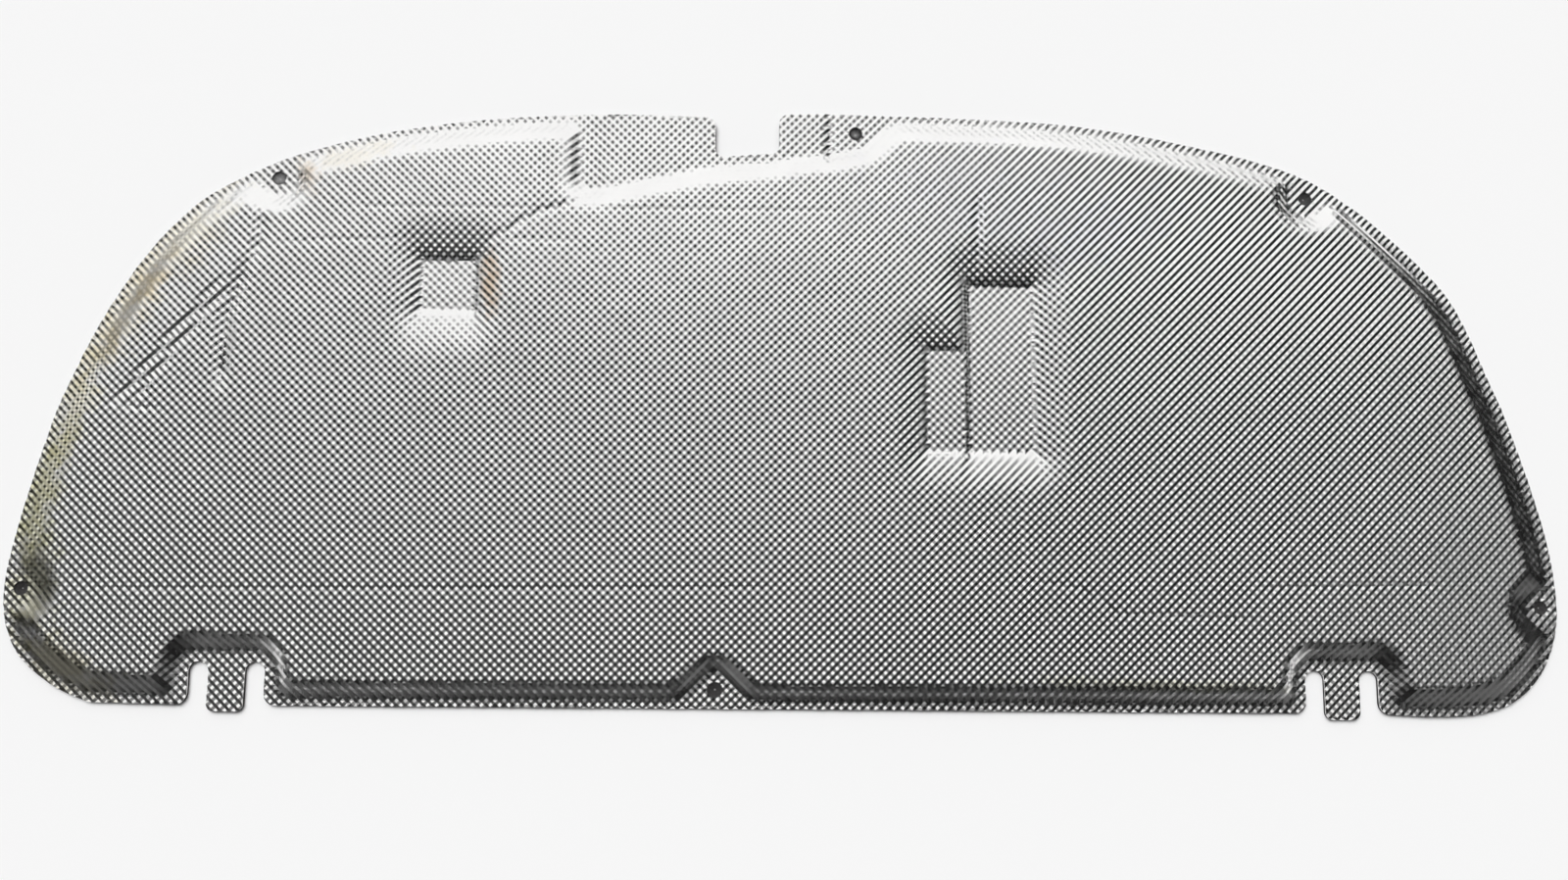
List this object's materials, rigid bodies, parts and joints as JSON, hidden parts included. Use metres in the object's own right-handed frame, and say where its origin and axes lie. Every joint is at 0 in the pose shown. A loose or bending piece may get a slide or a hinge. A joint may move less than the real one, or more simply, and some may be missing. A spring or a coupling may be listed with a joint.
{
  "type": "hood insulation pad",
  "caption": "Pressed fibre insulation pad for a car's hood, with an embossed foil face, thin rim, clip holes, hinge forks, latch notch and pressed pockets.",
  "frame": {"origin": "middle of the outline's box, on the plane of the flat back", "axes": "+X across the vehicle, +Y towards the latch edge at the front of the hood, +Z out of the foil face"},
  "size_m": [1.259, 0.5034, 0.0105],
  "materials": {
    "foil": "bright aluminium foil with a fine diamond emboss",
    "felt": "dark pressed fibre felt"
  },
  "bodies": {
    "root": {"insulation_pad": "foil"}
  },
  "joints": []
}
